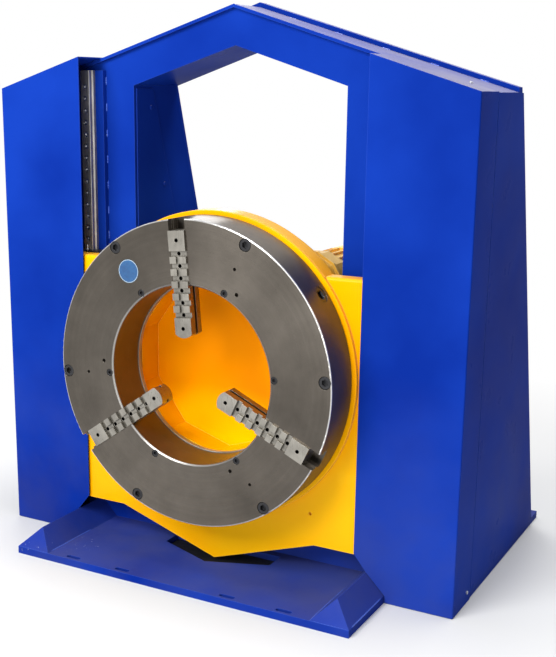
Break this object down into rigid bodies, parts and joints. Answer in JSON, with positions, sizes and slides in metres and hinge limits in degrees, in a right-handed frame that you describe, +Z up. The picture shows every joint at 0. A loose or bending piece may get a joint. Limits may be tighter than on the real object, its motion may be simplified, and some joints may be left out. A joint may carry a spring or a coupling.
{
  "type": "welding positioner",
  "caption": "Gantry welding positioner with a lifting yellow carriage and a large hollow three-jaw scroll chuck.",
  "frame": {"origin": "on the floor under the middle of the base plate", "axes": "+Z up, +X to the right seen from the chuck, +Y from the chuck to the back"},
  "size_m": [1.376, 1.006, 1.4886],
  "materials": {
    "frame_paint": "glossy ultramarine paint on folded and welded steel sheet",
    "carriage_paint": "glossy golden yellow paint",
    "gearbox_paint": "glossy yellow paint",
    "motor_paint": "satin grey paint",
    "chuck_steel": "faced and turned, fine circular marks",
    "jaw_steel": "ground",
    "ground_steel": "ground and hardened",
    "black_screws": "black oxide",
    "zinc_screws": "zinc plated",
    "bearing_steel": "painted dark grey",
    "nut_bronze": "machined bronze",
    "black_paint": "satin black paint",
    "badge_blue": "plain blue disc",
    "gland_plastic": "black polyamide"
  },
  "bodies": {
    "root": {"base_plate": "frame_paint", "notch_pan": "black_paint", "foot_gusset_right": "frame_paint", "foot_gusset_left": "frame_paint", "front_frame_plate": "frame_paint", "rear_frame_plate": "frame_paint", "side_plate_right": "frame_paint", "side_plate_left": "frame_paint", "inner_wall_right": "frame_paint", "inner_wall_left": "frame_paint", "inner_liners": "frame_paint", "opening_lining": "frame_paint", "roof_plate_right": "frame_paint", "roof_plate_left": "frame_paint", "roof_strips": "frame_paint", "front_cover_right": "frame_paint", "front_cover_left": "frame_paint", "rear_cover_right": "frame_paint", "rear_cover_left": "frame_paint", "rail_mount_strips": "frame_paint", "cover_screws": "zinc_screws", "guide_rail_right": "ground_steel", "guide_rail_left": "ground_steel", "rail_screws": "zinc_screws", "screw_top_bearings": "bearing_steel", "bevel_gearbox_right": "bearing_steel", "bevel_gearbox_left": "bearing_steel", "shaft_pillows": "bearing_steel", "lift_gearmotor": "motor_paint", "cable_gland": "gland_plastic"},
    "carriage": {"carriage_plate": "carriage_paint", "bearing_housing": "carriage_paint", "bearing_outer_race": "ground_steel", "bearing_balls": "ground_steel", "gearcase_cover": "carriage_paint", "bore_pan": "carriage_paint", "guide_blocks": "ground_steel", "nut_arms": "carriage_paint", "lift_nuts": "nut_bronze", "drive_gearbox": "gearbox_paint", "drive_motor": "gearbox_paint", "carriage_screws": "black_screws"},
    "spindle": {"spindle_adapter": "ground_steel", "ring_gear_race": "ground_steel", "chuck_body": "chuck_steel", "chuck_back_plate": "chuck_steel", "chuck_screws": "black_screws", "badge_disc": "badge_blue"},
    "drive_pinion": {"drive_pinion": "ground_steel"},
    "scroll": {"scroll_plate": "ground_steel"},
    "jaw_1": {"jaw_1": "jaw_steel"},
    "key_pinion_1": {"chuck_pinion_1": "black_screws"},
    "jaw_2": {"jaw_2": "jaw_steel"},
    "key_pinion_2": {"chuck_pinion_2": "black_screws"},
    "jaw_3": {"jaw_3": "jaw_steel"},
    "key_pinion_3": {"chuck_pinion_3": "black_screws"},
    "lift_screw_right": {"lift_screw_right": "ground_steel"},
    "lift_screw_left": {"lift_screw_left": "ground_steel"},
    "cross_shaft": {"cross_shaft": "ground_steel"}
  },
  "joints": [
    {"name": "lift_slide", "type": "slide", "parent": "root", "child": "carriage", "axis": [0, 0, 1], "range_m": [0, 0.4]},
    {"name": "spindle_turn", "type": "hinge", "parent": "carriage", "child": "spindle", "pos_m": [0, -0.409, 0.555], "axis": [0, 1, 0], "continuous": true},
    {"name": "pinion_turn", "type": "hinge", "parent": "carriage", "child": "drive_pinion", "pos_m": [0.20365, -0.209, 0.75865], "axis": [0, 1, 0], "continuous": true},
    {"name": "scroll_turn", "type": "hinge", "parent": "spindle", "child": "scroll", "pos_m": [0, -0.349, 0.555], "axis": [0, 1, 0], "range_deg": [-1008, 216]},
    {"name": "jaw_1_slide", "type": "slide", "parent": "spindle", "child": "jaw_1", "axis": [-0.0872, 0, 0.9962], "range_m": [-0.045, 0.01]},
    {"name": "jaw_2_slide", "type": "slide", "parent": "spindle", "child": "jaw_2", "axis": [-0.8192, 0, -0.5736], "range_m": [-0.045, 0.01]},
    {"name": "jaw_3_slide", "type": "slide", "parent": "spindle", "child": "jaw_3", "axis": [0.9063, 0, -0.4226], "range_m": [-0.045, 0.01]},
    {"name": "key_1_turn", "type": "hinge", "parent": "spindle", "child": "key_pinion_1", "pos_m": [0.2949, -0.324, 0.76149], "axis": [0.8192, 0, 0.5736], "range_deg": [-27300, 5900]},
    {"name": "key_2_turn", "type": "hinge", "parent": "spindle", "child": "key_pinion_2", "pos_m": [-0.32627, -0.324, 0.70714], "axis": [-0.9063, 0, 0.4226], "range_deg": [-27300, 5900]},
    {"name": "key_3_turn", "type": "hinge", "parent": "spindle", "child": "key_pinion_3", "pos_m": [0.03138, -0.324, 0.19637], "axis": [0.0872, 0, -0.9962], "range_deg": [-27300, 5900]},
    {"name": "screw_right_turn", "type": "hinge", "parent": "root", "child": "lift_screw_right", "pos_m": [0.575, -0.11, 0.5], "axis": [0, 0, 1], "range_deg": [-7201, 1]},
    {"name": "screw_left_turn", "type": "hinge", "parent": "root", "child": "lift_screw_left", "pos_m": [-0.575, -0.11, 0.5], "axis": [0, 0, 1], "range_deg": [-1, 7201]},
    {"name": "cross_shaft_turn", "type": "hinge", "parent": "root", "child": "cross_shaft", "pos_m": [0, -0.11, 0.08], "axis": [1, 0, 0], "range_deg": [-7201, 1]}
  ],
  "couplings": [
    {"joint": "pinion_turn", "follows": "spindle_turn", "ratio": 7.8571},
    {"joint": "jaw_1_slide", "follows": "scroll_turn", "m_per_rad": 0.0025465},
    {"joint": "jaw_2_slide", "follows": "scroll_turn", "m_per_rad": 0.0025465},
    {"joint": "jaw_3_slide", "follows": "scroll_turn", "m_per_rad": 0.0025465},
    {"joint": "key_1_turn", "follows": "scroll_turn", "ratio": 27},
    {"joint": "key_2_turn", "follows": "scroll_turn", "ratio": 27},
    {"joint": "key_3_turn", "follows": "scroll_turn", "ratio": 27},
    {"joint": "screw_right_turn", "follows": "lift_slide", "rad_per_m": -314.16},
    {"joint": "screw_left_turn", "follows": "lift_slide", "rad_per_m": 314.16},
    {"joint": "cross_shaft_turn", "follows": "lift_slide", "rad_per_m": -314.16}
  ]
}
